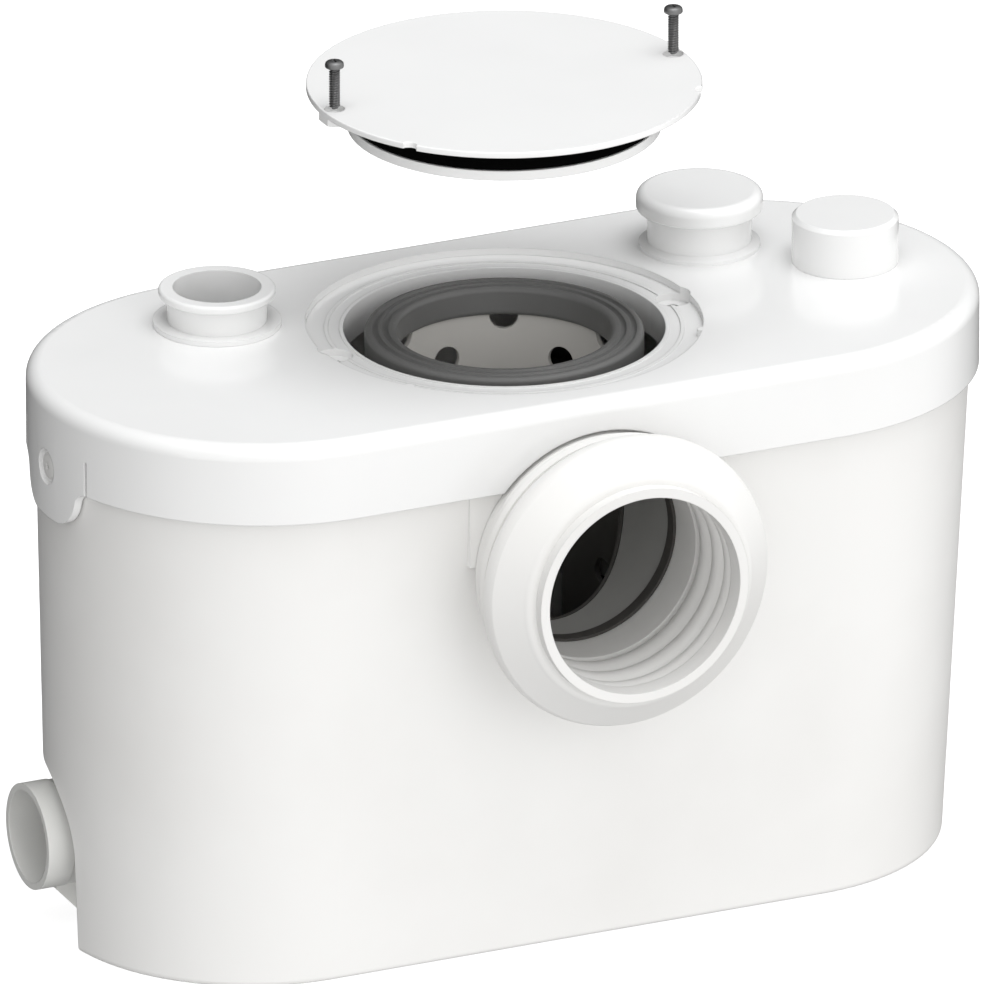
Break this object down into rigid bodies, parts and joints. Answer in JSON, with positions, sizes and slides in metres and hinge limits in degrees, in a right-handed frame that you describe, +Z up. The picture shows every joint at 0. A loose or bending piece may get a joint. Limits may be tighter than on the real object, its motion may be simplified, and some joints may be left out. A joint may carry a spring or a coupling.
{
  "type": "macerator toilet pump",
  "caption": "Macerator pump for a toilet: oval white tank and lid, rubber WC inlet, low and top side inlets, lift-off access cover, basket with spinning cutter, motor and pump",
  "frame": {"origin": "on the floor under the middle of the lid, on the flat underside of the tank", "axes": "+Z up, -Y out of the WC inlet, which is the front, +X to the right seen from the front"},
  "size_m": [0.4, 0.2418, 0.3624],
  "materials": {
    "tank_plastic": "satin white moulded plastic",
    "lid_plastic": "glossy white moulded plastic",
    "white_nylon": "white nylon",
    "stub_plastic": "satin white plastic",
    "basket_plastic": "light warm grey plastic",
    "collar_rubber": "dark grey rubber",
    "black_rubber": "black rubber",
    "white_rubber": "white rubber",
    "grey_plastic": "mid grey plastic",
    "black_plastic": "black glass-filled plastic",
    "switch_plastic": "dark plastic",
    "filter_foam": "carbon foam",
    "steel": "stainless steel",
    "dark_screw_steel": "dark coated steel",
    "lamination_steel": "stacked sheet steel",
    "motor_aluminium": "cast aluminium",
    "can_aluminium": "drawn aluminium",
    "copper": "enamelled copper wire"
  },
  "bodies": {
    "root": {"tank": "tank_plastic", "lid": "lid_plastic", "lid_seal": "black_rubber", "tab_screws": "white_nylon", "basket_collar": "collar_rubber", "basket": "basket_plastic", "wc_inlet_gasket": "white_rubber", "wc_inlet_seal": "black_rubber", "wc_inlet_pipe": "grey_plastic", "side_inlet": "stub_plastic", "side_flap_pin": "steel", "top_inlet_nozzle": "lid_plastic", "carbon_filter": "filter_foam", "discharge_spigot": "grey_plastic", "check_valve_body": "grey_plastic", "check_valve_pin": "steel", "riser_pipe": "grey_plastic", "pump_casing": "black_plastic", "pump_cover": "black_plastic", "shaft_seal": "black_rubber", "motor_housing": "motor_aluminium", "motor_end_cover": "motor_aluminium", "bearings": "steel", "stator": "lamination_steel", "windings": "copper", "capacitor": "can_aluminium", "pressure_tube": "grey_plastic", "diaphragm": "black_rubber", "switch_housing": "black_plastic", "microswitch": "switch_plastic", "cable_gland": "black_plastic"},
    "rotor": {"motor_shaft": "steel", "rotor_core": "lamination_steel", "impeller": "black_plastic", "cutter_blade": "steel", "blade_nut": "steel"},
    "cover": {"access_cover": "lid_plastic", "cover_oring": "black_rubber"},
    "left_cover_screw": {"cover_screw_left": "dark_screw_steel"},
    "right_cover_screw": {"cover_screw_right": "dark_screw_steel"},
    "vent_cap": {"vent_cap": "lid_plastic"},
    "discharge_cap": {"discharge_cap": "lid_plastic"},
    "side_flap": {"side_flap": "black_rubber"},
    "check_valve_flap": {"check_valve_flap": "black_rubber"},
    "pressure_plate": {"pressure_plate": "switch_plastic"},
    "switch_lever": {"switch_lever": "steel"}
  },
  "joints": [
    {"name": "rotor_spin", "type": "hinge", "parent": "root", "child": "rotor", "pos_m": [0, 0, 0.07], "axis": [1, 0, 0], "continuous": true},
    {"name": "cover_lift", "type": "slide", "parent": "root", "child": "cover", "axis": [0, 0, 1], "range_m": [-0.1026, 0]},
    {"name": "left_screw_slide", "type": "slide", "parent": "cover", "child": "left_cover_screw", "axis": [0, 0, 1], "range_m": [-0.0205, 0]},
    {"name": "right_screw_slide", "type": "slide", "parent": "cover", "child": "right_cover_screw", "axis": [0, 0, 1], "range_m": [-0.0205, 0]},
    {"name": "vent_cap_lift", "type": "slide", "parent": "root", "child": "vent_cap", "axis": [0, 0, 1], "range_m": [0, 0.03]},
    {"name": "discharge_cap_lift", "type": "slide", "parent": "root", "child": "discharge_cap", "axis": [0, 0, 1], "range_m": [0, 0.03]},
    {"name": "side_flap_swing", "type": "hinge", "parent": "root", "child": "side_flap", "pos_m": [-0.16005, 0.025, 0.0669], "axis": [0, -1, 0], "range_deg": [0, 60]},
    {"name": "check_valve_swing", "type": "hinge", "parent": "root", "child": "check_valve_flap", "pos_m": [0.152, 0.016, 0.2082], "axis": [-1, 0, 0], "range_deg": [0, 55]},
    {"name": "pressure_plate_lift", "type": "slide", "parent": "root", "child": "pressure_plate", "axis": [0, 0, 1], "range_m": [0, 0.0015]},
    {"name": "switch_lever_swing", "type": "hinge", "parent": "root", "child": "switch_lever", "pos_m": [-0.142, -0.022, 0.19655], "axis": [0, -1, 0], "range_deg": [0, 7.6]}
  ],
  "couplings": [
    {"joint": "switch_lever_swing", "follows": "pressure_plate_lift", "rad_per_m": 86.957}
  ]
}
